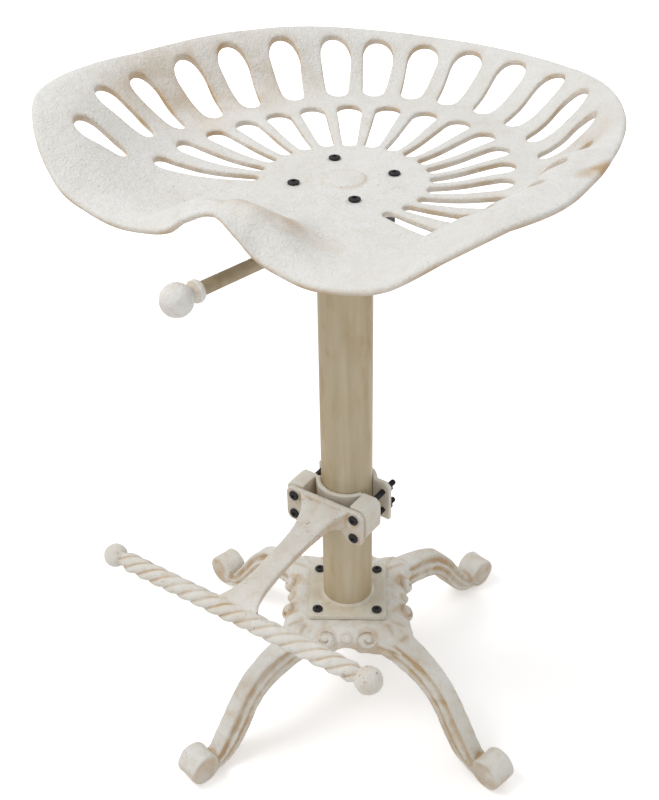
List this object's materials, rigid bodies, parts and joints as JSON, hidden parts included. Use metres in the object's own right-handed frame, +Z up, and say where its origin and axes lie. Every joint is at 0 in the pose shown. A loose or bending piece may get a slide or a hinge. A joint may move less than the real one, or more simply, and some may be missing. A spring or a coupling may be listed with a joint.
{
  "type": "tractor seat stool",
  "caption": "Height-adjustable swivel stool: pierced cast-iron tractor-style seat, gas column with a release lever, clamped twisted-bar footrest and a cast base with scroll feet.",
  "frame": {"origin": "on the floor, at the column's axis", "axes": "+Z up along the column; -Y towards the front, where the lever, the seat's notch and the footrest are; +X to the right for someone looking along +Y"},
  "size_m": [0.4802, 0.4723, 0.6597],
  "materials": {
    "cream_iron": "antique cream paint over rough casting, tan wash in the hollows",
    "beige_steel": "satin beige-grey paint",
    "black_paint": "satin black",
    "black_nylon": "matt nylon",
    "bright_steel": "ground and zinc plated",
    "black_fastener": "black oxide"
  },
  "bodies": {
    "base": {"base_casting": "cream_iron", "column_plate": "cream_iron", "column_tube": "beige_steel", "guide_bush": "black_nylon", "thrust_bearing": "bright_steel", "base_screw_1": "black_fastener", "base_screw_2": "black_fastener", "base_screw_3": "black_fastener", "base_screw_4": "black_fastener", "base_nut_1": "black_fastener", "base_nut_2": "black_fastener", "base_nut_3": "black_fastener", "base_nut_4": "black_fastener"},
    "piston": {"piston_rod": "bright_steel", "rod_clip": "bright_steel"},
    "seat": {"gas_cylinder": "black_paint", "cylinder_gland": "black_nylon", "taper_socket": "black_paint", "bracket_channel": "black_paint", "bracket_plate": "black_paint", "lever_pin": "bright_steel", "seat_pan": "cream_iron", "seat_screw_1": "black_fastener", "seat_screw_2": "black_fastener", "seat_screw_3": "black_fastener", "seat_screw_4": "black_fastener", "seat_nut_1": "black_fastener", "seat_nut_2": "black_fastener", "seat_nut_3": "black_fastener", "seat_nut_4": "black_fastener"},
    "lever": {"lever_rod": "beige_steel", "lever_knob": "cream_iron"},
    "button": {"release_button": "bright_steel"},
    "footrest": {"footrest_casting": "cream_iron", "clamp_front": "cream_iron", "clamp_rear": "cream_iron", "clamp_screw_1": "black_fastener", "clamp_screw_2": "black_fastener", "clamp_screw_3": "black_fastener", "clamp_screw_4": "black_fastener", "clamp_nut_1": "black_fastener", "clamp_nut_2": "black_fastener", "clamp_nut_3": "black_fastener", "clamp_nut_4": "black_fastener"}
  },
  "joints": [
    {"name": "seat_swivel", "type": "hinge", "parent": "base", "child": "piston", "pos_m": [0, 0, 0.12], "axis": [0, 0, 1], "continuous": true},
    {"name": "seat_lift", "type": "slide", "parent": "piston", "child": "seat", "axis": [0, 0, 1], "range_m": [0, 0.175]},
    {"name": "lever_lift", "type": "hinge", "parent": "seat", "child": "lever", "pos_m": [-0.00338, -0.03383, 0.5484], "axis": [-0.9951, 0.0993, 0], "range_deg": [0, 8], "stiffness_Nm_per_rad": 2},
    {"name": "button_press", "type": "slide", "parent": "seat", "child": "button", "axis": [0, 0, -1], "range_m": [0, 0.00475]},
    {"name": "footrest_height", "type": "slide", "parent": "base", "child": "footrest", "axis": [0, 0, 1], "range_m": [-0.095, 0.22]}
  ],
  "couplings": [
    {"joint": "button_press", "follows": "lever_lift", "m_per_rad": 0.034}
  ]
}
